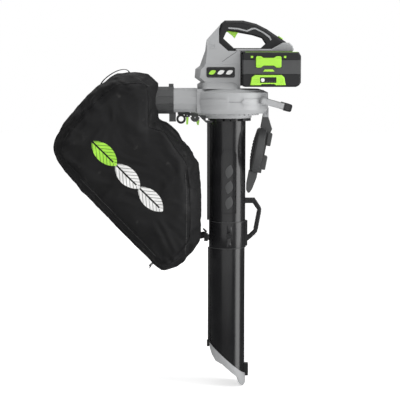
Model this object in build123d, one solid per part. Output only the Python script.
from build123d import *
import os
from math import cos, sin, radians, hypot, sqrt

# Cordless leaf vacuum mulcher in its vacuum set-up, in millimetres, +Z up, +X towards the battery,
# -Y towards the user's left hand. While it is worked out, X = Y = 0 is the axis of the suction tube
# and of the fan, and Z = 0 is the tip of the nozzle guard. Every piece is moved on export so that
# the origin is the middle of the handle bar, where the machine is held.

# ---- driving dimensions -----------------------------------------------------------------------
GRIP = (50.0, 0.0, 998.0)        # middle of the handle bar, the part's origin

WALL = 3.0                       # moulded casing wall
FACE_GAP = 0.5                   # gap between pieces that move past each other
RUN_FIT = 0.05                   # radial clearance of a running shaft

FAN_R = 111.0                    # fan casing, outside
FAN_BOTTOM = 763.0
FAN_TOP = 829.6
FAN_SPLIT = 795.0                # where the two scroll halves meet

TUBE_R = 49.6                    # upper suction tube, outside
TUBE_WALL = 2.5
INLET_R = TUBE_R - TUBE_WALL     # fan inlet and suction tube, inside
RING_R = TUBE_R + 16.4           # inlet ring, outside
RING_BOTTOM = 749.0
AIR_RIM_R = RING_R + 20.0        # toothed rim above the inlet ring
TUBE_TOP = 756.0
GASKET_H = 4.0
JOINT_Z = 427.0                  # where the lower tube meets the upper one
LOWER_R = TUBE_R - 1.1           # lower suction tube, outside
COLLAR_R = TUBE_R + 1.9
COLLAR_BOTTOM = 391.0
COLLAR_TOP = 464.0
FLANGE_OUT = TUBE_R + 7.4        # reach of the seam flange on the upper tube
LOWER_FLANGE_OUT = LOWER_R + 6.0
FLANGE_T = 4.0                   # flange thickness of each tube half
SCREW_PITCH = 84.0
SCREW_TOP = 727.0
SCREW_R = 1.9
HEAD_R = 3.4

SHOE_STEP = 2.4                  # how far the nozzle guard stands out from the tube
MOUTH_LEFT = (-LOWER_R - 2.0, 121.4)   # nozzle bevel, from its high side
MOUTH_RIGHT = (LOWER_R + 2.0, 31.0)    # to its low side

PIPE_Y = -45.0                   # outlet pipe axis
PIPE_Z = 799.0
PIPE_FLAT = 33.0                 # from the axis to a flat of the twelve-sided pipe
PIPE_BORE = PIPE_FLAT - 3.5
PIPE_FOOT = PIPE_Z - PIPE_FLAT   # underside of the pipe
PIPE_IN = -85.0                  # where the pipe leaves the scroll
PIPE_END = -186.0
COLLAR_FIT = 0.3                 # bag collar on pipe, flat to flat
BAG_COLLAR_FLAT = PIPE_FLAT + COLLAR_FIT + 3.3
BAG_COLLAR_IN = -147.6
BAG_COLLAR_END = -200.0
BAG_FACE = -191.0                # face of the bag round its collar

BODY_DEPTH = 60.0                # half depth of the motor casing
BODY_SIDE = 40.0                 # where its bevelled edge begins
BODY_RIGHT = 32.5
ARM_BOTTOM = 929.0               # battery bay roof
ARM_TOP = 937.0
HANDLE_DEPTH = 17.0              # half width of the handle

MOTOR_R = 29.0
CAN_WALL = 1.5
BEARING_R = 11.0
SHAFT_R = 5.0
IMPELLER_R = 82.0
BLADE_COUNT = 9

BAY_LEFT = 36.5                  # battery against the bay's side plate
BATTERY_RIGHT = 194.0
BATTERY_BOTTOM = 835.0
BATTERY_TOP = 928.0
BATTERY_FRONT = -88.0
BATTERY_BACK = 44.0
BASE_TOP = 869.0                 # black base, grey band and dark lid of the pack
BAND_TOP = 907.0

LOOP_EYE_R = 9.0                 # round end of each arm of the side loop handle
LOOP_PIVOT = (FAN_R - 16.0, 797.0)           # X and Z of its axis
LOOP_HALF = sqrt(FAN_R ** 2 - (LOOP_PIVOT[0] - LOOP_EYE_R) ** 2) + 7.8   # half the distance between its arms
LOOP_REACH = 72.0
LOOP_DROP = 15.0                 # degrees below level at rest
LOOP_BOLT_R = 3.0
PAD_OUT = LOOP_HALF - 7.0        # outer face of the scroll's pivot pads
PAD_IN = LOOP_HALF - 20.0        # how deep the pads and their bolts go

COVER_PIN = (FAN_R - 7.0, 757.0)             # inlet cover hinge, X and Z of its pin
COVER_TILT = 10.5                # degrees that the open cover leans towards the tube
COVER_R = 63.0
COVER_DOWN = 100.0               # from the pin to the middle of the cover

BAG_Y = PIPE_Y                   # middle of the leaf bag
BAG_HALF = 84.0                  # half its filled depth
BAG_WALL = 3.0


# ---- small helpers ----------------------------------------------------------------------------
def box(x0, x1, y0, y1, z0, z1):
    """A block between six coordinates."""
    size = Box(x1 - x0, y1 - y0, z1 - z0)
    return Pos((x0 + x1) / 2, (y0 + y1) / 2, (z0 + z1) / 2) * size


def disc(radius, z0, z1):
    """An upright cylinder on the tube's axis."""
    return Pos(0, 0, (z0 + z1) / 2) * Cylinder(radius, z1 - z0)


def ring(outer, inner, z0, z1):
    """An upright ring round the tube's axis."""
    return disc(outer, z0, z1) - disc(inner, z0 - 1, z1 + 1)


def rod_y(radius, x, z, y0, y1):
    """A cylinder along Y."""
    return Pos(x, (y0 + y1) / 2, z) * Rot(90, 0, 0) * Cylinder(radius, y1 - y0)


def rod_x(radius, y, z, x0, x1):
    """A cylinder along X."""
    return Pos((x0 + x1) / 2, y, z) * Rot(0, 90, 0) * Cylinder(radius, x1 - x0)


def side_plane(y):
    """The X-Z plane at one Y, drawn as seen from the front."""
    return Plane(origin=(0, y, 0), x_dir=(1, 0, 0), z_dir=(0, -1, 0))


def outline(points, y, radius=0.0):
    """A face in the X-Z plane, with its corners rounded by one radius or by a list of them."""
    if isinstance(radius, (int, float)) and radius == 0.0:
        wire = Polyline(*points, close=True)
    else:
        wire = FilletPolyline(*points, radius=radius, close=True)
    return side_plane(y) * make_face(wire)


def slab(points, y0, y1, radius=0.0):
    """An X-Z outline carried from y0 to y1."""
    return extrude(outline(points, y1, radius), amount=y1 - y0)


def bridge(points_a, y_a, points_b, y_b):
    """A flat-sided solid between two X-Z outlines with as many corners."""
    return loft([outline(points_a, y_a), outline(points_b, y_b)], ruled=True)


def inset(points, distance):
    """An outline moved inwards by a distance, drawn anticlockwise or clockwise."""
    count = len(points)
    area = sum(points[i][0] * points[(i + 1) % count][1] - points[(i + 1) % count][0] * points[i][1]
               for i in range(count))
    turn = 1.0 if area > 0 else -1.0
    lines = []
    for i in range(count):
        (x0, z0), (x1, z1) = points[i], points[(i + 1) % count]
        length = hypot(x1 - x0, z1 - z0)
        normal = (-(z1 - z0) / length * turn, (x1 - x0) / length * turn)
        lines.append((normal, normal[0] * x0 + normal[1] * z0 + distance))
    corners = []
    for i in range(count):
        (a, c), (b, d) = lines[i - 1], lines[i]
        det = a[0] * b[1] - a[1] * b[0]
        corners.append(((c * b[1] - d * a[1]) / det, (a[0] * d - b[0] * c) / det))
    return corners


def twelve_sided(flat, x0, x1):
    """A twelve-sided bar along X, with flats towards the front and the top."""
    section = RegularPolygon(flat, 12, major_radius=False, rotation=15)
    plane = Plane(origin=(x0, PIPE_Y, PIPE_Z), x_dir=(0, 1, 0), z_dir=(1, 0, 0))
    return extrude(plane * section, amount=x1 - x0)


def half(solid, front):
    """The front (-Y) or the rear (+Y) half of a solid."""
    return solid & (box(-900, 900, -900, 0, -900, 1900) if front else box(-900, 900, 0, 900, -900, 1900))


# ---- casing -----------------------------------------------------------------------------------
HANDLE_OUT = [(-20, 1006), (-9, 1015), (41, 1015), (77, 1006), (107, 991), (126, 978), (160, 956),
              (150, 949), (122, 931.5), (0, 931.5), (-25, 954), (-25, 990)]
HANDLE_HOLE = [(-12.6, 966), (-3, 987), (27, 982.5), (66, 975.5), (93, 967), (103, 952), (90, 940),
               (16, 940)]
COLUMN_SIDE = [(-84, FAN_TOP), (-84, 842), (-74, 848), (-91, 860), (-89, 883), (-77, 892),
               (-62.4, 933), (-58.5, 962), (-20.6, 1004), (-25, 990), (-25, 954), (0, 931.5),
               (BODY_RIGHT, 931.5), (BODY_RIGHT, FAN_TOP)]
COLUMN_FRONT = [(-70, FAN_TOP), (-70, 842), (-62, 848), (-76, 861), (-74, 881), (-64, 890),
                (-49, 933), (-45, 957), (-30, 976), (-28, 968), (-27, 954), (0, 931.5),
                (BODY_RIGHT, 931.5), (BODY_RIGHT, FAN_TOP)]
SHOULDER_Z = 898.0               # above this the casing slopes in to the handle
NECK_DEPTH = 24.0                # half depth of the casing at the top of the handle
ARM = [(BODY_RIGHT - 12, ARM_BOTTOM), (174, ARM_BOTTOM), (178, 935), (175, 945), (166, 954),
       (148, 954), (118, ARM_TOP), (BODY_RIGHT - 12, ARM_TOP)]
ARM_DEPTH = 44.0
FAIRING_DEPTH = 84.0
FAIRING_TOP = 849.0


def shoulder_slopes(depth, neck):
    """The casing's outline seen from the side: upright, then sloping in to the handle."""
    points = [(-depth, 800), (-depth, SHOULDER_Z), (-neck, 1006), (neck, 1006), (depth, SHOULDER_Z),
              (depth, 800)]
    plane = Plane(origin=(-120, 0, 0), x_dir=(0, 1, 0), z_dir=(1, 0, 0))
    return extrude(plane * make_face(Polyline(*points, close=True)), amount=240)


def column(side, front, depth, neck):
    """The motor column between two outlines, with its bevelled left edge and sloping shoulders."""
    body = slab(side, -BODY_SIDE, BODY_SIDE)
    for way in (-1, 1):
        body += bridge(side, way * BODY_SIDE, front, way * depth)
    return body & shoulder_slopes(depth, neck)


def foot(width, half_low, half_high, corner, top):
    """The flared foot of the casing on the fan housing."""
    return loft([Pos(-22, 0, FAN_TOP) * RectangleRounded(width, 2 * half_low, corner),
                 Pos(-22, 0, top) * RectangleRounded(width, 2 * half_high, corner)], ruled=True)


def casing_outer():
    """The motor casing, its foot and the roof over the battery bay."""
    arm = slab(ARM, -ARM_DEPTH, ARM_DEPTH)
    arm = chamfer(arm.faces().group_by(Axis.Y)[0].edges() + arm.faces().group_by(Axis.Y)[-1].edges(), 3)
    body = column(COLUMN_SIDE, COLUMN_FRONT, BODY_DEPTH, NECK_DEPTH)
    return body + arm + foot(98, FAIRING_DEPTH, BODY_DEPTH - 3, 16, FAIRING_TOP)


def casing_hollow():
    """The room inside the motor casing and its foot."""
    room = column(inset(COLUMN_SIDE, WALL), inset(COLUMN_FRONT, WALL), BODY_DEPTH - WALL, NECK_DEPTH - WALL)
    room += foot(92, FAIRING_DEPTH - WALL, BODY_DEPTH - 3 - WALL, 13, FAIRING_TOP - WALL)
    return room


def handle_block():
    """The handle's outer block, without its hand opening."""
    return slab(HANDLE_OUT, -HANDLE_DEPTH, HANDLE_DEPTH)


VENT_SLOTS = 5
VENT_BOX = (-63.0, -52.0, 936.0, 953.0)     # side vent, X and Z


def vent_cut():
    """The window that the side vent grille fills."""
    return box(-70, -48, -30, 30, VENT_BOX[2], VENT_BOX[3])


CASING_SCREWS = [(-70, 872, 40), (-48, 925, 34), (24, 907, 40), (-40, 962, 26)]   # X, Z, half length
BOSS_R = 5.0
SCREW_SHORT = 8.0                # how far each screw stays short of the front


def casing():
    """Both casing halves, before they are split."""
    outer = casing_outer()
    body = outer - casing_hollow()
    for x, z, reach in CASING_SCREWS:
        body += rod_y(BOSS_R, x, z, -BODY_DEPTH, BODY_DEPTH) & outer
    body -= handle_block()
    body -= vent_cut()
    body -= badge_block()
    body -= disc(MOTOR_R + 0.2, FAN_TOP - 1, 893)
    for x, z, reach in CASING_SCREWS:
        body -= rod_y(SCREW_R, x, z, SCREW_SHORT - reach, reach)
        body -= rod_y(HEAD_R + 0.6, x, z, reach, BODY_DEPTH + 5)
    return body


def housing_front():
    return half(casing(), True)


def housing_rear():
    return half(casing(), False)


def badge_block():
    """The plain badge plate's outline, as deep as its recess."""
    points = [(-59, 860), (18, 860), (18, 888), (-59, 888)]
    return slab(points, -BODY_DEPTH - 1.2, -BODY_DEPTH + 1.5, 5.0)


def badge_plate():
    return badge_block()


def side_vent():
    """A dark grille with slots, one in each casing half, joined by its back rail."""
    face = (casing_outer() - casing_hollow()) & vent_cut()
    for slot in range(VENT_SLOTS):
        y = -24 + 12 * slot
        face -= box(-75, -40, y - 3, y + 3, VENT_BOX[2] + 3, VENT_BOX[3] - 3)
    return face


def casing_screws():
    """Casing screws in their bores, heads sunk in the rear half."""
    screws = []
    for x, z, reach in CASING_SCREWS:
        screw = rod_y(SCREW_R, x, z, SCREW_SHORT - reach, reach)
        screw += rod_y(HEAD_R, x, z, reach, reach + 3)
        screws.append(screw)
    return screws


# ---- handle -----------------------------------------------------------------------------------
TRIGGER_PIN = (-1.0, 990.0)
TRIGGER_SLOT = (-5.0, 31.0, 7.6)            # X range and half width of the slot in the bar
BUTTON_AT = (143.0, 967.0)                  # rear speed button on the sloping bar
BUTTON_LEAN = 33.3                          # degrees that its axis leans back from upright
BUTTON_R = 7.5


def button_axis(radius, below, above):
    """A bar on the rear button's axis, from below to above the bar's surface."""
    bar = Pos(0, 0, (above - below) / 2) * Cylinder(radius, above + below)
    return Pos(BUTTON_AT[0], 0, BUTTON_AT[1]) * Rot(0, BUTTON_LEAN, 0) * bar


def handle_frame():
    """The closed handle, hollow, with its slot for the trigger and hole for the button."""
    frame = handle_block() - slab(HANDLE_HOLE, -50, 50)
    top = [e for e in frame.edges() if abs(abs(e.center().Y) - HANDLE_DEPTH) < 0.1
           and e.center().Z > 960 and not inside_hole(e) and e.center().X > -24]
    frame = fillet(top, 9.0)
    rim = [e for e in frame.edges() if abs(abs(e.center().Y) - HANDLE_DEPTH) < 0.1 and inside_hole(e)]
    frame = fillet(rim, 3.5)
    room = slab(inset(HANDLE_OUT, WALL), -HANDLE_DEPTH + WALL, HANDLE_DEPTH - WALL)
    room -= slab(inset(HANDLE_HOLE, -WALL), -50, 50)
    frame -= chamfered_room(room)
    frame -= box(TRIGGER_SLOT[0], TRIGGER_SLOT[1], -TRIGGER_SLOT[2], TRIGGER_SLOT[2], 978, 992)
    frame -= button_axis(BUTTON_R + FACE_GAP, 12, 12)
    for y in (-1, 1):
        lug = rod_y(4.0, TRIGGER_PIN[0], TRIGGER_PIN[1], 8.0, HANDLE_DEPTH - 1)
        frame += lug if y > 0 else mirror(lug, Plane.XZ)
    frame -= rod_y(1.5, TRIGGER_PIN[0], TRIGGER_PIN[1], -HANDLE_DEPTH + 2, HANDLE_DEPTH - 2)
    return frame


def chamfered_room(room):
    """The handle's hollow, kept clear of the rounded outer edges."""
    keep = box(-400, 400, -HANDLE_DEPTH + WALL, HANDLE_DEPTH - WALL, 900, 1004)
    keep += box(-400, 400, -HANDLE_DEPTH + 9, HANDLE_DEPTH - 9, 900, 1100)
    return room & keep


def inside_hole(edge):
    """True for an edge that lies on the rim of the hand opening."""
    c = edge.center()
    return -13.5 < c.X < 104 and 939 < c.Z < 988 and on_polygon(c.X, c.Z, HANDLE_HOLE)


def on_polygon(x, z, points):
    """True where a point lies on an outline's sides."""
    for i in range(len(points)):
        (x0, z0), (x1, z1) = points[i - 1], points[i]
        length = hypot(x1 - x0, z1 - z0)
        off = abs((x1 - x0) * (z - z0) - (z1 - z0) * (x - x0)) / length
        along = ((x1 - x0) * (x - x0) + (z1 - z0) * (z - z0)) / length
        if off < 0.3 and -0.3 < along < length + 0.3:
            return True
    return False


def handle_front():
    return half(handle_frame(), True)


def handle_rear():
    return half(handle_frame(), False)


TRIM_LINE = [(1, 992), (28, 990), (52, 984), (66, 990), (74, 991), (96, 980), (112, 967), (116, 960),
             (119, 963), (114, 972), (98, 983), (74, 995), (64, 994), (51, 988), (28, 994), (1, 996)]


def handle_trim():
    """The pale inlay line along both sides of the bar."""
    strips = []
    for way in (-1, 1):
        y = way * HANDLE_DEPTH
        strips.append(slab(TRIM_LINE, min(y, y + way * 0.8), max(y, y + way * 0.8)))
    return strips


def switch_module():
    return box(-8, 20, -9, 9, 994.5, 1003.5)


def trigger():
    """The curved trigger with its concave finger face and the eye on its pin."""
    half_width = TRIGGER_SLOT[2] - 1.0
    blade = slab([(-3, 986.5), (28.5, 983.5), (23, 975), (18.5, 966.5), (12, 974), (4, 980)],
                 -half_width, half_width)
    blade = fillet(blade.faces().group_by(Axis.Y)[0].edges() + blade.faces().group_by(Axis.Y)[-1].edges(), 1.0)
    blade += slab([(-4.0, 984), (27, 983), (27, 988), (3, 993), (-4.0, 993)], -5.5, 5.5)
    return blade - rod_y(1.5 + RUN_FIT, TRIGGER_PIN[0], TRIGGER_PIN[1], -20, 20)


def speed_button():
    body = button_axis(BUTTON_R, 8.0, 3.0)
    return fillet(body.edges().group_by(Axis.Z)[-1], 1.2)


# ---- fan and motor ----------------------------------------------------------------------------
FAN_PROFILE = [(0, FAN_TOP), (FAN_R - 27, FAN_TOP), (FAN_R - 13, 825.5), (FAN_R, 819), (FAN_R, 774),
               (FAN_R - 10, FAN_BOTTOM), (0, FAN_BOTTOM)]
FAN_ROOM = [(0, 824.5), (FAN_R - 19, 824.5), (FAN_R - 7, 818), (FAN_R - 7, 778), (FAN_R - 17, 769), (0, 769)]


def turned(profile):
    """A solid of revolution about the tube's axis."""
    return revolve(Plane.XZ * make_face(Polyline(*profile, close=True)), Axis.Z)


RIM_PADS = [[(-77, 788), (-72, 786.5), (-6, 786.5), (0, 795), (-6, 803), (-72, 803), (-77, 801)],
            [(34, 795), (42, 787), (84, 787), (84, 803), (42, 803)]]
PAD_PROUD = 3.0


def scroll():
    """The fan casing with its tangential outlet, its pivot pads and its inlet."""
    shell = turned(FAN_PROFILE)
    duct = box(PIPE_IN, -8, PIPE_Y - PIPE_FLAT - 3, PIPE_Y + PIPE_FLAT + 1, FAN_BOTTOM + 2, FAN_TOP)
    shell += chamfer(duct.edges().filter_by(Axis.X), 9)
    shell -= twelve_sided(PIPE_FLAT, -140, PIPE_IN)
    for way in (-1, 1):
        near, face, beyond = way * PAD_IN, way * PAD_OUT, way * (LOOP_HALF + 12)
        shell += box(LOOP_PIVOT[0] - 17, LOOP_PIVOT[0] + 11, min(near, face), max(near, face), 786, 808)
        shell -= rod_y(LOOP_BOLT_R, LOOP_PIVOT[0], LOOP_PIVOT[1], min(near, beyond), max(near, beyond))
    for pad in RIM_PADS:
        shell += slab(pad, -130, 0) & ring(FAN_R + PAD_PROUD, FAN_R - 1, 780, 810)
    shell -= turned(FAN_ROOM) + rod_x(PIPE_BORE, PIPE_Y, PIPE_Z, PIPE_IN - 1, -20)
    return shell - disc(12.0, 820, 840) - disc(INLET_R, 755, 775)


def scroll_upper():
    return scroll() & box(-400, 400, -400, 400, FAN_SPLIT, 900)


def scroll_lower():
    return scroll() & box(-400, 400, -400, 400, 700, FAN_SPLIT)


def inlet_ring():
    """The ring under the scroll that takes the tube and its gasket, with its toothed air rim."""
    body = ring(RING_R, TUBE_R, RING_BOTTOM, TUBE_TOP + GASKET_H)
    body += ring(RING_R, INLET_R, TUBE_TOP + GASKET_H, FAN_BOTTOM)
    body = chamfer(body.edges().group_by(Axis.Z)[0].sort_by(SortBy.RADIUS)[-1], 2)
    rim = ring(AIR_RIM_R, RING_R - 1, FAN_BOTTOM - 5.0, FAN_BOTTOM)
    for i in range(36):
        rim -= Rot(0, 0, 10 * i) * box(AIR_RIM_R - 6, AIR_RIM_R + 4, -2.6, 2.6, FAN_BOTTOM - 6, FAN_BOTTOM - 2)
    return body + rim


def tube_gasket():
    return ring(TUBE_R, INLET_R, TUBE_TOP, TUBE_TOP + GASKET_H)


def tube_clips():
    """The black catches under the inlet ring that hold the tube."""
    body = ring(RING_R - 1.0, TUBE_R, 742.0, RING_BOTTOM)
    keep = []
    for start, width in ((248, 14), (268, 10), (282, 8), (328, 30), (60, 26), (130, 26)):
        wedge = Rot(0, 0, start) * box(0, 90, -width * 0.7, width * 0.7, 730, 760)
        keep.append(body & wedge)
    return keep


def outlet_pipe():
    """The twelve-sided outlet pipe with a stop bead inside the bag collar."""
    pipe = twelve_sided(PIPE_FLAT, PIPE_END, PIPE_IN)
    return pipe - rod_x(PIPE_BORE, PIPE_Y, PIPE_Z, PIPE_END - 5, PIPE_IN + 5)


def motor_can():
    """The motor's mounting plate, can and end bell with the seats of both bearings."""
    can = ring(MOTOR_R, BEARING_R, FAN_TOP, 834.0) + ring(14.0, BEARING_R, 834.0, 841.0)
    can += ring(MOTOR_R, MOTOR_R - CAN_WALL, 834.0, 892.0)
    can += ring(MOTOR_R, BEARING_R, 892.0, 895.0) + ring(14.0, BEARING_R, 892.0, 902.0)
    return can


def motor_stator():
    """Stator ring with twelve wound poles."""
    body = ring(MOTOR_R - CAN_WALL, 24.0, 848.0, 884.0)
    for i in range(12):
        body += Rot(0, 0, 30 * i) * box(18.5, 25.0, -2.6, 2.6, 848.0, 884.0)
    return body


def bearings():
    return [ring(BEARING_R, SHAFT_R + RUN_FIT, 834.0, 841.0), ring(BEARING_R, SHAFT_R + RUN_FIT, 895.0, 902.0)]


def motor_shaft():
    """The shaft with its rotor, and the nut that holds the blade."""
    return [disc(SHAFT_R, 772.0, 905.0) + disc(17.5, 848.0, 884.0), blade_nut()]


def impeller():
    """The fan wheel: hub, back plate and swept blades, open towards the inlet."""
    hub = ring(17.0, SHAFT_R, 780.0, 822.0)
    hub += ring(IMPELLER_R, SHAFT_R, 814.0, 817.0)
    blade = slab([(16, 800), (40, 782), (IMPELLER_R - 2, 786), (IMPELLER_R - 2, 814), (16, 814)], -1.3, 1.3)
    for i in range(BLADE_COUNT):
        hub += Rot(0, 0, 360 / BLADE_COUNT * i) * Pos(0, 6, 0) * Rot(0, 0, -10) * blade
    return hub - disc(SHAFT_R, 700, 900)


def mulching_blade():
    """The chopping blade on the shaft, below the wheel."""
    bar = box(-36, 36, -8, 8, 776.5, 780.0) + ring(12.0, SHAFT_R, 776.5, 780.0)
    bar -= disc(SHAFT_R, 770, 790)
    for way in (0, 180):
        bar -= Rot(0, 0, way) * Pos(30, 12, 778) * Rot(0, 0, -30) * Box(40, 12, 10)
    return bar


def blade_nut():
    nut = extrude(Pos(0, 0, 769.6) * RegularPolygon(8.0, 6), amount=6.9)
    return nut - disc(SHAFT_R, 772.0, 780)


def controller_board():
    return box(-68, -40, -24, 24, 900, 903) + box(-60, -48, -16, 16, 903, 912)


# ---- battery bay and pack ---------------------------------------------------------------------
PACK_OUT = [(BAY_LEFT + FACE_GAP, 840), (44, BATTERY_BOTTOM), (181, BATTERY_BOTTOM), (189, 839),
            (BATTERY_RIGHT, 847), (BATTERY_RIGHT, 917), (188, BATTERY_TOP), (43, BATTERY_TOP),
            (BAY_LEFT + FACE_GAP, 922)]


def pack_block():
    """The pack's outer shape, with its front edges broken."""
    body = slab(PACK_OUT, BATTERY_FRONT, BATTERY_BACK)
    return chamfer(body.faces().group_by(Axis.Y)[0].edges(), 3.0)


def pack_room():
    return slab(inset(PACK_OUT, WALL), BATTERY_FRONT + WALL + 3.5, BATTERY_BACK - WALL)


def battery_base():
    """The pack's black lower case."""
    body = (pack_block() - pack_room()) & box(0, 400, -200, 200, 800, BASE_TOP)
    return body - slab(GAUGE_OUT, BATTERY_FRONT - 5, BATTERY_FRONT + 3.0)


def battery_band():
    """The pack's grey middle, with the latch recess and the slots for its contacts."""
    body = (pack_block() - pack_room()) & box(0, 400, -200, 200, BASE_TOP, BAND_TOP)
    for contact in battery_contacts():
        body -= contact
    return body - latch_recess()


def battery_lid():
    """The pack's dark upper case."""
    body = (pack_block() - pack_room()) & box(0, 400, -200, 200, BAND_TOP, 1000)
    body -= latch_recess()
    for x in (62.5, 151.0):
        body -= box(x - 3.5, x + 3.5, BATTERY_FRONT - 1, BATTERY_FRONT + 2.5, BAND_TOP, 918)
    return body


LATCH_OUT = [(73, 889), (76, 886.5), (86, 886.5), (93, 892), (121, 892), (128, 886.5), (138, 886.5),
             (141, 889), (141, 914), (138, 917), (128, 917), (121, 912.5), (93, 912.5), (86, 917),
             (76, 917), (73, 914)]
LATCH_PROUD = 3.0
GAUGE_OUT = [(58, 840), (62, 861), (70, 867), (142, 867), (149, 861), (153, 840), (126, 840), (122, 843),
             (90, 843), (86, 840)]
GAUGE_WINDOW = [(84, 846), (128, 846), (128, 861), (84, 861)]
GAUGE_BUTTON = (91.5, 853.5)
GAUGE_BUTTON_R = 5.0


def latch_recess():
    return slab(inset(LATCH_OUT, -FACE_GAP), BATTERY_FRONT - 5, BATTERY_FRONT + 5.5)


def battery_latch():
    """The dog-bone release button on the pack's face."""
    body = slab(LATCH_OUT, BATTERY_FRONT - LATCH_PROUD, BATTERY_FRONT + 2.0)
    body = chamfer(body.faces().group_by(Axis.Y)[0].edges(), 1.2)
    for x in (81, 133):
        for z in (891, 912):
            body -= box(x - 5, x + 5, BATTERY_FRONT - LATCH_PROUD - 1, BATTERY_FRONT - LATCH_PROUD + 0.8,
                        z - 1, z + 1)
    return body


def gauge_panel():
    """The green frame round the charge gauge."""
    body = slab(GAUGE_OUT, BATTERY_FRONT - 2.5, BATTERY_FRONT + 3.0)
    body = chamfer(body.faces().group_by(Axis.Y)[0].edges(), 1.2)
    body -= slab(GAUGE_WINDOW, BATTERY_FRONT - 5, BATTERY_FRONT + 2.0)
    for x in (73, 138.5):
        for z in (849, 855):
            body -= box(x - 7, x + 7, BATTERY_FRONT - 4, BATTERY_FRONT - 1.8, z - 0.8, z + 0.8)
    return body


def gauge_display():
    """The black gauge window with a hole for its button."""
    body = slab(GAUGE_WINDOW, BATTERY_FRONT - 1.2, BATTERY_FRONT + 2.0)
    return body - rod_y(GAUGE_BUTTON_R + 0.3, GAUGE_BUTTON[0], GAUGE_BUTTON[1], -99, -86)


def gauge_button():
    return rod_y(GAUGE_BUTTON_R, GAUGE_BUTTON[0], GAUGE_BUTTON[1], BATTERY_FRONT - 2.6, BATTERY_FRONT + 0.4)


def battery_cells():
    """The pack's cells and its four contact blades."""
    cells = battery_contacts()
    for row in range(3):
        for column_number in range(6):
            cells.append(rod_y(10.5, 58 + 22.5 * column_number, 858 + 23.5 * row, -66, 4))
    return cells


def battery_contacts():
    return [box(58 + 14 * i, 61 + 14 * i, BATTERY_BACK - WALL, BATTERY_BACK, 872, 892) for i in range(4)]


def battery_bay():
    """The side plate and back plate that guide the pack and stop it."""
    plate = box(BODY_RIGHT, BAY_LEFT, -56, BATTERY_BACK + 5, 838, 926)
    for i in range(6):
        plate -= box(BAY_LEFT - 1.2, BAY_LEFT + 1, -58, 30, 852 + 8 * i, 855 + 8 * i)
    plate += box(BODY_RIGHT, 150, BATTERY_BACK + FACE_GAP, BATTERY_BACK + 5, 838, ARM_BOTTOM)
    return plate - terminal_cut()


def terminal_cut():
    return box(54, 110, BATTERY_BACK, BATTERY_BACK + 12, 868, 896)


def terminal_block():
    """The tool's contact block, let into the bay's back plate."""
    body = box(54, 110, BATTERY_BACK + FACE_GAP, BATTERY_BACK + 12, 868, 896)
    for i in range(4):
        body -= box(57 + 14 * i, 62 + 14 * i, BATTERY_BACK, BATTERY_BACK + 9, 871, 893)
    return body


# ---- suction tube -----------------------------------------------------------------------------
def tube_pipe(radius, z0, z1, flange_out, flange0, flange1):
    """One tube with its seam flange on the -X side."""
    body = disc(radius, z0, z1) + box(-flange_out, 0, -FLANGE_T, FLANGE_T, flange0, flange1)
    return body - disc(radius - TUBE_WALL, z0 - 1, z1 + 1)


def screw_heights():
    """Screw heights along the seam, apart from those the collar covers."""
    heights = [SCREW_TOP - SCREW_PITCH * i for i in range(8)]
    return [z for z in heights if not COLLAR_BOTTOM - 2 < z < COLLAR_TOP + 2]


def screw_x(z):
    return -FLANGE_OUT + 4.2 if z > JOINT_Z else -LOWER_FLANGE_OUT + 3.4


def tube_screws():
    """Seam screws with countersunk-flat heads."""
    screws = []
    for z in screw_heights():
        screw = rod_y(1.4, screw_x(z), z, -FLANGE_T, FLANGE_T - 0.5)
        screws.append(screw + rod_y(2.6, screw_x(z), z, -FLANGE_T - 1.4, -FLANGE_T))
    return screws


def screw_holes(body):
    for z in screw_heights():
        body -= rod_y(1.4, screw_x(z), z, -FLANGE_T - 1, FLANGE_T - 0.5)
    return body


PANEL = [(-18, 489), (23, 489), (23, 652), (14, 665), (-10, 665), (-18, 652)]
PANEL_DEEP = 1.2


def upper_tube():
    body = tube_pipe(TUBE_R, JOINT_Z, TUBE_TOP, FLANGE_OUT, COLLAR_TOP + 2, 736.0)
    body -= slab(PANEL, -70, 0) & ring(TUBE_R + 1, TUBE_R - PANEL_DEEP, 480, 680)
    return screw_holes(body)


def upper_tube_front():
    return half(upper_tube(), True)


def upper_tube_rear():
    return half(upper_tube(), False)


def mouth_side():
    """Everything below the nozzle's slanted mouth."""
    return slab([MOUTH_LEFT, MOUTH_RIGHT, (60, 28), (60, -60), (-90, -60), (-90, MOUTH_LEFT[1])], -90, 90)


def lower_tube():
    body = tube_pipe(LOWER_R, 20.0, JOINT_Z, LOWER_FLANGE_OUT, 124.0, COLLAR_BOTTOM - 2)
    return screw_holes(body) - mouth_side()


def lower_tube_front():
    return half(lower_tube(), True)


def lower_tube_rear():
    return half(lower_tube(), False)


TETHER_TAB = TUBE_R + 8.4        # reach of the collar's tab for the bag's tie


def coupling_collar():
    """The sleeve that joins the two tubes."""
    body = ring(COLLAR_R, TUBE_R, JOINT_Z, COLLAR_TOP) + ring(COLLAR_R, LOWER_R, COLLAR_BOTTOM, JOINT_Z)
    body += box(-TETHER_TAB, -COLLAR_R + 1, -1.5, 1.5, 409, 425) - disc(COLLAR_R, 400, 430)
    body -= rod_y(5.0, 3.5, JOINT_Z, -60, -TUBE_R + 2)
    return body


def collar_screw():
    """The round lock screw on the front of the collar."""
    screw = rod_y(7.5, 3.5, JOINT_Z, -COLLAR_R - 2.2, -COLLAR_R + 0.2) - disc(COLLAR_R, 400, 460)
    screw += rod_y(4.8, 3.5, JOINT_Z, -COLLAR_R - 1, -TUBE_R + 0.2) - disc(TUBE_R, 400, 460)
    screw -= box(-1.5, 8.5, -COLLAR_R - 3, -COLLAR_R - 1.2, JOINT_Z - 1, JOINT_Z + 1)
    return screw


def nozzle_guard():
    """The pale shoe that closes the slanted mouth's rim and stands off the ground."""
    body = ring(LOWER_R + SHOE_STEP, LOWER_R - TUBE_WALL, -5, 140)
    return body & slab(shoe_outline(), -90, 90)


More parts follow.
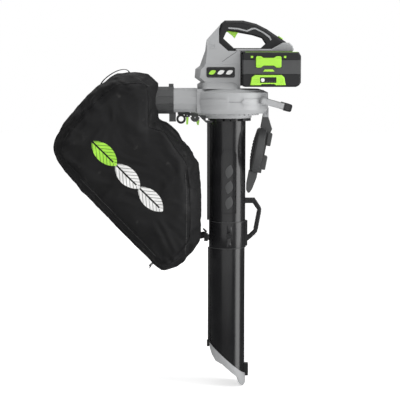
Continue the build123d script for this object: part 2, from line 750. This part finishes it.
def shoe_outline():
    """The shoe's side view: the mouth's slant above, the tip below."""
    return [MOUTH_LEFT, MOUTH_RIGHT, (56, 31.0), (56, 12), (51, 5), (44, 0), (38, 3), (31, 12),
            (24, 31), (-15, 66), (-33, 74), (-43, 89), (-48, 103), (-52, 119)]


def nozzle_clips():
    """The black catch on the high side of the shoe and the ear on its low side."""
    shoe_r = LOWER_R + SHOE_STEP
    high = box(-57, -shoe_r + 1, -9, 9, 108, 123.5) - disc(shoe_r, 90, 140)
    low = box(LOWER_R - 4.5, LOWER_R + 10.5, -10, 10, 24, 58) - disc(shoe_r, 0, 34.5) - disc(LOWER_R, 34.5, 80)
    return [high, low]


CARRY_OUT = [(40, 527.5), (76, 527.5), (94.6, 497), (83.0, 432), (58, 408), (40, 408)]
CARRY_IN = [(40, 513), (70, 513), (83.4, 495), (72.6, 438), (58, 424), (40, 424)]
CARRY_HALF = 7.0


def carry_handle():
    """The rigid carrying loop between the upper tube and the collar."""
    body = slab(CARRY_OUT, -CARRY_HALF, CARRY_HALF) - slab(CARRY_IN, -30, 30)
    edges = [e for e in body.edges() if e.center().X > 60 and abs(abs(e.center().Y) - CARRY_HALF) < 0.1]
    body = fillet(edges, 3.0)
    body -= disc(TUBE_R, COLLAR_TOP, 600) + disc(COLLAR_R, 380, COLLAR_TOP)
    pad = ring(COLLAR_R + 4.5, COLLAR_R, COLLAR_BOTTOM + 4, COLLAR_TOP) & box(30, 70, -16, 16, 300, 500)
    return body + pad


# ---- pieces under the outlet ------------------------------------------------------------------
EYE_AT = (-128.0, PIPE_FOOT - 18.0)
EYE_R = 7.0
EYE_OUT = 13.0
EYE_HALF = 4.0
LATCH_PIVOT = (-111.0, PIPE_FOOT - 8.5)
TUBE_LATCH_PIVOT = (-90.0, 751.0)
TUBE_LATCH_R = 12.5
TUBE_LATCH_HALF = 10.4           # half width between the adaptor's lugs
TUBE_LATCH_Y = -8.0
ADAPTOR = [(-107, FAN_BOTTOM), (-107, 756), (-80, 756), (-60, 737), (-40, 737), (-40, FAN_BOTTOM)]


def tube_adaptor():
    """The dark wedge that hooks the suction tube under the scroll."""
    body = slab(ADAPTOR, -26, 10)
    body -= disc(RING_R, RING_BOTTOM, 790)
    body -= disc(TUBE_R, 700, RING_BOTTOM) + box(-FLANGE_OUT, 0, -FLANGE_T, FLANGE_T, 700, 736.0)
    body -= ring(AIR_RIM_R, RING_R - 1, FAN_BOTTOM - 5.0, FAN_BOTTOM)
    body -= disc(RING_R, 742.0, RING_BOTTOM)
    for way in (-1, 1):
        middle = TUBE_LATCH_Y + way * (TUBE_LATCH_HALF + 3.6)
        body += slab([(-101, 757), (-79, 757), (-84, 747), (-96, 747)], middle - 3, middle + 3)
    return body - rod_y(2.0, TUBE_LATCH_PIVOT[0], TUBE_LATCH_PIVOT[1], -40, 30)


def latch_pins():
    """The two short pins that the release levers turn on."""
    tube_pin = rod_y(2.0, TUBE_LATCH_PIVOT[0], TUBE_LATCH_PIVOT[1], TUBE_LATCH_Y - 17, TUBE_LATCH_Y + 17)
    pipe_pin = rod_y(1.5, LATCH_PIVOT[0], LATCH_PIVOT[1], PIPE_Y - 13, PIPE_Y + 13)
    return [tube_pin, pipe_pin]


def latch_bar(radius):
    """A bar on the tube release's pivot, as wide as the lever."""
    return rod_y(radius, TUBE_LATCH_PIVOT[0], TUBE_LATCH_PIVOT[1], TUBE_LATCH_Y - TUBE_LATCH_HALF,
                 TUBE_LATCH_Y + TUBE_LATCH_HALF)


def tube_latch():
    """The ribbed half-moon lever that frees the tube."""
    body = latch_bar(TUBE_LATCH_R) & box(-120, -60, -60, 60, 730, TUBE_LATCH_PIVOT[1] + 0.5)
    for i in range(6):
        turn = Pos(TUBE_LATCH_PIVOT[0], 0, TUBE_LATCH_PIVOT[1]) * Rot(0, 35 + 22 * i, 0)
        body -= turn * box(TUBE_LATCH_R - 1, TUBE_LATCH_R + 1, -30, 20, -0.8, 0.8)
    body += latch_bar(4.5)
    return body - rod_y(2.0 + RUN_FIT, TUBE_LATCH_PIVOT[0], TUBE_LATCH_PIVOT[1], -40, 30)


def tube_latch_tip():
    """The green pointer on the tube release."""
    body = slab([(-88, 743), (-77.5, 744), (-80, 730), (-84, 730)], TUBE_LATCH_Y - 6, TUBE_LATCH_Y + 6)
    return body - latch_bar(TUBE_LATCH_R)


def harness_eye():
    """The ring for a shoulder strap, with its bracket under the outlet pipe."""
    eye = rod_y(EYE_OUT, EYE_AT[0], EYE_AT[1], PIPE_Y - EYE_HALF, PIPE_Y + EYE_HALF)
    low, high = LATCH_PIVOT[1] - 4, LATCH_PIVOT[1] + 4.5
    bracket = box(-137, -104, PIPE_Y - 13, PIPE_Y + 13, LATCH_PIVOT[1] + 2.5, PIPE_FOOT)
    body = eye + bracket
    for way in (-1, 1):
        body += box(-118, -104, PIPE_Y + way * 10.25 - 2.75, PIPE_Y + way * 10.25 + 2.75, low, high)
    body -= rod_y(EYE_R, EYE_AT[0], EYE_AT[1], PIPE_Y - 60, PIPE_Y + 60)
    body -= box(-114.7, -103, PIPE_Y - 7.5, PIPE_Y + 7.5, low - 4, high)
    return body - rod_y(1.5, LATCH_PIVOT[0], LATCH_PIVOT[1], PIPE_Y - 14, PIPE_Y + 14)


def pipe_latch():
    """The green tab that frees the bag collar."""
    top, knee, tip = LATCH_PIVOT[1] + 3, LATCH_PIVOT[1] - 9.5, LATCH_PIVOT[1] - 24.5
    body = slab([(-114, top), (-108, top), (-107.5, knee), (-109, tip), (-114, tip)], PIPE_Y - 6, PIPE_Y + 6)
    return body - rod_y(1.5 + RUN_FIT, LATCH_PIVOT[0], LATCH_PIVOT[1], PIPE_Y - 20, PIPE_Y + 20)


# ---- side loop handle -------------------------------------------------------------------------
def loop_path(reach0=0.0):
    """The middle line of the loop, from one pivot to the other, in its own plane."""
    points = [(reach0, -LOOP_HALF), (LOOP_REACH, -LOOP_HALF), (LOOP_REACH, LOOP_HALF), (reach0, LOOP_HALF)]
    return FilletPolyline(*points, radius=26)


def loop_sweep(width, height):
    """A rounded bar along the loop, tilted to its rest position."""
    section = Plane(origin=(0, -LOOP_HALF, 0), x_dir=(0, 1, 0), z_dir=(1, 0, 0))
    bar = sweep(section * RectangleRounded(width, height, min(width, height) * 0.32), path=loop_path())
    return Pos(LOOP_PIVOT[0], 0, LOOP_PIVOT[1]) * Rot(0, LOOP_DROP, 0) * bar


def loop_eyes():
    """The round ends of the two arms."""
    eyes = rod_y(LOOP_EYE_R, LOOP_PIVOT[0], LOOP_PIVOT[1], -LOOP_HALF - 6.5, -LOOP_HALF + 6.5)
    return eyes + rod_y(LOOP_EYE_R, LOOP_PIVOT[0], LOOP_PIVOT[1], LOOP_HALF - 6.5, LOOP_HALF + 6.5)


def loop_zone():
    """The part of the loop that the soft grip covers."""
    zone = box(LOOP_REACH - 15, LOOP_REACH + 40, -110, 110, -40, 40)
    return Pos(LOOP_PIVOT[0], 0, LOOP_PIVOT[1]) * Rot(0, LOOP_DROP, 0) * zone


def loop_handle():
    """The pale loop with its two eyes, slimmer under the grip."""
    body = (loop_sweep(13, 17) - loop_zone()) + (loop_sweep(9, 13) & loop_zone()) + loop_eyes()
    return body - rod_y(LOOP_BOLT_R + RUN_FIT, LOOP_PIVOT[0], LOOP_PIVOT[1], -120, 120)


def loop_grip():
    """The black soft grip round the loop's end."""
    return (loop_sweep(17, 21) - loop_sweep(9, 13)) & loop_zone()


def loop_bolts():
    """Pivot bolts through the loop's eyes into the scroll's pads."""
    bolts = []
    for way in (-1, 1):
        near, seat, head = way * PAD_IN, way * (LOOP_HALF + 7.0), way * (LOOP_HALF + 10.0)
        bolt = rod_y(LOOP_BOLT_R, LOOP_PIVOT[0], LOOP_PIVOT[1], min(near, seat), max(near, seat))
        bolts.append(bolt + rod_y(6.0, LOOP_PIVOT[0], LOOP_PIVOT[1], min(seat, head), max(seat, head)))
    return bolts


# ---- inlet cover ------------------------------------------------------------------------------
def in_cover(solid):
    """Turns and places a piece drawn with the hinge pin at the origin and the cover hanging plumb."""
    return Pos(COVER_PIN[0], 0, COVER_PIN[1]) * Rot(0, COVER_TILT, 0) * solid


def cover_disc_x(radius, x0, x1, z):
    return rod_x(radius, 0, z, x0, x1)


def inlet_cover():
    """The round cover: a domed, slotted dish with its hinge arm, latch tab and outer bosses."""
    mid = -COVER_DOWN
    dish = Pos(0, 0, mid) * revolve(Plane.XY * make_face(Polyline(
        (-20, 0), (-19, 30), (-14, COVER_R - 4), (-10, COVER_R), (8, COVER_R), (10, COVER_R - 6),
        (10, 0), close=True)), Axis.X)
    dish -= cover_disc_x(COVER_R - 8, -4, 20, mid)
    dish -= cover_disc_x(COVER_R - 20, -16, 20, mid)
    for i in range(-4, 5):
        reach = (COVER_R - 22) * cos(radians(13 * abs(i)))
        dish -= box(-30, 0, -reach, reach, mid + 9 * i - 2.2, mid + 9 * i + 2.2)
    arm = slab([(-5, 5), (5, 5), (8, -2), (25, -34), (22, -48), (8, -48), (8, -40), (-7, -36), (-7, -4)],
               -11, 11)
    tab = slab([(-16, -158), (8, -158), (8, -174), (2, -206), (-3, -218), (-8, -220), (-13, -214), (-16, -196)],
               -13, 13)
    body = dish + arm + tab + box(10, 18, -9, 9, -160, -47)
    for boss in (box(17, 29, -16, 16, -82, -46), box(10, 27, -16, 16, -149, -110)):
        body += chamfer(boss.faces().sort_by(Axis.X)[-1].edges(), 2.0)
    return in_cover(body - rod_y(3.0 + RUN_FIT, 0, 0, -60, 60))


def cover_bracket():
    """The pale hinge bracket under the rim of the scroll: two cheeks and a web."""
    near, far = COVER_PIN[0] - 6.5, COVER_PIN[0] + 8
    body = box(near, far, -18, 18, 766, 778)
    for way in (-1, 1):
        body += box(near, far, way * 14.75 - 3.25, way * 14.75 + 3.25, COVER_PIN[1] - 5, 778)
    body -= turned(FAN_PROFILE)
    return body - rod_y(3.0, COVER_PIN[0], COVER_PIN[1], -19, 19)


def hinge_pins():
    """The cover's hinge pin, the trigger's pin and the two release levers' pins."""
    cover = rod_y(3.0, COVER_PIN[0], COVER_PIN[1], -18, 18)
    finger = rod_y(1.5, TRIGGER_PIN[0], TRIGGER_PIN[1], -HANDLE_DEPTH + 2, HANDLE_DEPTH - 2)
    return [cover, finger] + latch_pins()


# ---- leaf bag ---------------------------------------------------------------------------------
ZIP_LINE = ((-408.0, 578.0), (-194.0, 354.0))   # the straight zipped edge, upper and lower end
ZIP_H = 2.4
ZIP_HALF = 4.5
BAG_OUT = [(BAG_FACE, 845), (-206, 857), (-222, 867), (-244, 869), (-300, 864), (-352, 829), (-400, 779),
           (-437, 734), (-463, 692), (-464, 658), (-452, 630), ZIP_LINE[0],
           ZIP_LINE[1], (-180, 341), (-158, 346), (-129, 364), (-108, 386), (-86, 414), (-80.5, 433),
           (-79.5, 475), (-81, 556), (-87, 629), (-101, 658), (-124, 686), (-147, 722), (-162, 738),
           (BAG_FACE, 746)]
BAG_EDGE = 26.0                  # depth of the side panel before the bag rounds off
BAG_PULL = 24.0                  # how far the front and back panels pull in


def bag_block(points, half_depth, pull):
    """A pillow between two pulled-in panels."""
    body = slab(points, BAG_Y - BAG_EDGE, BAG_Y + BAG_EDGE)
    for way in (-1, 1):
        body += bridge(points, BAG_Y + way * BAG_EDGE, inset(points, pull), BAG_Y + way * half_depth)
    return body


BAG_HUB = (-255.0, 620.0)        # the point that the gusset's sections fan out from
BAG_CUTS = [0, 28, 58, 92, 128, 152, 176, 202, 232, 262, 284, 304, 328]   # section borders, in degrees
MOUTH_SECTION = 2                # the section that holds the collar


def bag_cloth():
    """The leaf bag's whole wall, filled out, with the hole for its collar."""
    body = bag_block(BAG_OUT, BAG_HALF, BAG_PULL)
    body -= bag_block(inset(BAG_OUT, BAG_WALL), BAG_HALF - BAG_WALL, BAG_PULL)
    return body - twelve_sided(BAG_COLLAR_FLAT, BAG_FACE - 60, BAG_FACE + 20)


def bag_sector(number):
    """A wedge that holds one section of the gusset."""
    start, stop = BAG_CUTS[number], (BAG_CUTS + [360])[number + 1]
    far = [(BAG_HUB[0] + 600 * cos(radians(a)), BAG_HUB[1] + 600 * sin(radians(a))) for a in (start, stop)]
    return slab([BAG_HUB] + far, BAG_Y - 200, BAG_Y + 200)


def bag_layer(low, high):
    """A slice of space between two distances from the bag's middle plane, towards the back."""
    return box(-700, 100, BAG_Y + low, BAG_Y + high, 200, 1000)


def bag_shell():
    """The bag's sewn pieces, apart from its mouth: two panels, and the gusset in sections and slopes."""
    cloth = bag_cloth()
    face = BAG_HALF - BAG_WALL
    panels = [cloth & bag_layer(-BAG_HALF - 1, -face), cloth & bag_layer(face, BAG_HALF + 1)]
    layers = [cloth & bag_layer(low, high) for low, high in ((-face, -BAG_EDGE), (-BAG_EDGE, BAG_EDGE),
                                                             (BAG_EDGE, face))]
    sections = [n for n in range(len(BAG_CUTS)) if n != MOUTH_SECTION]
    return panels + [layer & bag_sector(n) for layer in layers for n in sections]


def bag_mouth():
    """The section of the bag's wall round its collar."""
    face = BAG_HALF - BAG_WALL
    return bag_cloth() & bag_layer(-face, face) & bag_sector(MOUTH_SECTION)


def bag_collar():
    """The black ribbed collar that pushes over the outlet pipe."""
    body = twelve_sided(BAG_COLLAR_FLAT, BAG_COLLAR_END, BAG_COLLAR_IN)
    body += box(-161, -148.5, PIPE_Y - 9, PIPE_Y + 9, PIPE_Z + PIPE_FLAT - 2, PIPE_Z + PIPE_FLAT + 11.5)
    body += box(-160, -142, PIPE_Y - 7, PIPE_Y + 7, PIPE_FOOT - 25, PIPE_FOOT + 2)
    body -= twelve_sided(PIPE_FLAT + COLLAR_FIT, BAG_COLLAR_END - 5, -140)
    body -= rod_y(EYE_OUT + 1.5, EYE_AT[0], EYE_AT[1], PIPE_Y - 60, PIPE_Y + 60)
    for angle in (15, -15, 45, -45, 135, -135, 165, -165):
        groove = box(BAG_FACE + 2, BAG_COLLAR_IN - 3, -BAG_COLLAR_FLAT - 4, -BAG_COLLAR_FLAT - 0.3, -1.3, 1.3)
        body -= Pos(0, PIPE_Y, PIPE_Z) * Rot(angle, 0, 0) * groove
    return body


def loop_strap():
    """The webbing loop on the bag's top corner."""
    points = [(-354, 824), (-346, 848), (-328, 865), (-304, 880), (-281, 885), (-266, 880), (-262, 864),
              (-268, 864), (-272, 878), (-282, 880.5), (-302, 875.5), (-325, 861), (-341, 845), (-349, 826)]
    return slab(points, BAG_Y - 12, BAG_Y + 12) - bag_block(BAG_OUT, BAG_HALF, BAG_PULL)


def tether_strap():
    """The webbing tie from the side of the bag to its clip on the suction tube."""
    near, far = -TETHER_TAB - 5, -TETHER_TAB - 8
    line = Polyline((-90, -29), (far, -1.3), (near, -1.3), (near, 1.3), (far - 1.2, 1.3), (-90, -25.4), close=True)
    strap = extrude(Pos(0, 0, 414) * make_face(line), amount=19)
    return strap - bag_block(BAG_OUT, BAG_HALF, BAG_PULL) - tether_block()


def tether_block():
    """The clip's outer block."""
    x = -TETHER_TAB
    body = box(x - 7, x + 3.5, -5, 5, 406, 428)
    return body + slab([(x - 7, 427), (x - 1, 427), (x + 1, 434), (x - 8, 442), (x - 11, 440), (x - 5, 433)], -5, 5)


def tether_clip():
    """The clip at the end of the tie, open towards the collar's tab."""
    return tether_block() - box(-TETHER_TAB - 1.0, -40, -2.0, 2.0, 400, 430)


def along_zip(solid, distance):
    """Places a piece drawn with X along the zip and Z out of the bag, so far up from the lower end."""
    (x0, z0), (x1, z1) = ZIP_LINE
    length = hypot(x1 - x0, z1 - z0)
    ux, uz = (x0 - x1) / length, (z0 - z1) / length
    origin = (x1 + ux * distance, BAG_Y, z1 + uz * distance)
    plane = Plane(origin=origin, x_dir=(ux, 0, uz), z_dir=(-uz, 0, ux))
    return plane.location * solid


def zip_track():
    """The closed zip along the bag's slanted lower edge."""
    (x0, z0), (x1, z1) = ZIP_LINE
    return along_zip(box(1, hypot(x1 - x0, z1 - z0) - 1, -ZIP_HALF, ZIP_HALF, 0, ZIP_H), 0)


def zip_slider():
    """The slider that straddles the zip's teeth, with its pull tab."""
    body = box(2, 14, -ZIP_HALF - 2.0, ZIP_HALF + 2.0, 0.5, ZIP_H + 2.2)
    body -= box(0, 16, -ZIP_HALF - 0.4, ZIP_HALF + 0.4, 0, ZIP_H + 0.4)
    tab = box(4, 10, -1.5, 1.5, ZIP_H + 2.0, ZIP_H + 22.0)
    tab = fillet(tab.edges().filter_by(Axis.Y).group_by(Axis.Z)[-1], 2.5)
    return along_zip(body + tab, 0)


# ---- export -----------------------------------------------------------------------------------
def screws():
    """Casing screws, tube seam screws, the loop handle's bolts and the collar's lock screw."""
    return casing_screws() + tube_screws() + loop_bolts() + [collar_screw()]


NODES = [
    housing_front, housing_rear, handle_front, handle_rear, handle_trim, badge_plate, side_vent,
    switch_module, controller_board, scroll_upper, scroll_lower, inlet_ring, tube_gasket, tube_clips,
    outlet_pipe, motor_can, motor_stator, bearings, battery_bay, terminal_block,
    upper_tube_front, upper_tube_rear, lower_tube_front, lower_tube_rear, coupling_collar,
    nozzle_guard, nozzle_clips, carry_handle, tube_adaptor, harness_eye, cover_bracket, hinge_pins, screws,
    motor_shaft, impeller, mulching_blade,
    trigger, speed_button, tube_latch, tube_latch_tip, pipe_latch,
    battery_base, battery_band, battery_lid, gauge_panel, gauge_display, battery_cells, battery_latch,
    gauge_button, loop_handle, loop_grip, inlet_cover,
    bag_collar, bag_shell, bag_mouth, loop_strap, tether_strap, tether_clip, zip_track, zip_slider,
]


def write(make):
    """Builds one node, moves it so that the grip is the origin, and writes its STEP file."""
    made = make()
    solids = made if isinstance(made, list) else made.solids()
    moved = [Pos(-GRIP[0], -GRIP[1], -GRIP[2]) * solid for piece in solids for solid in piece.solids()]
    shape = moved[0] if len(moved) == 1 else Compound(children=moved)
    export_step(shape, f"parts/{make.__name__}.step")
    print(f"{make.__name__:20s} {len(moved)} solid(s) {sum(solid.volume for solid in moved) / 1000:9.2f} cm3")


os.makedirs("parts", exist_ok=True)
for make in NODES:
    write(make)
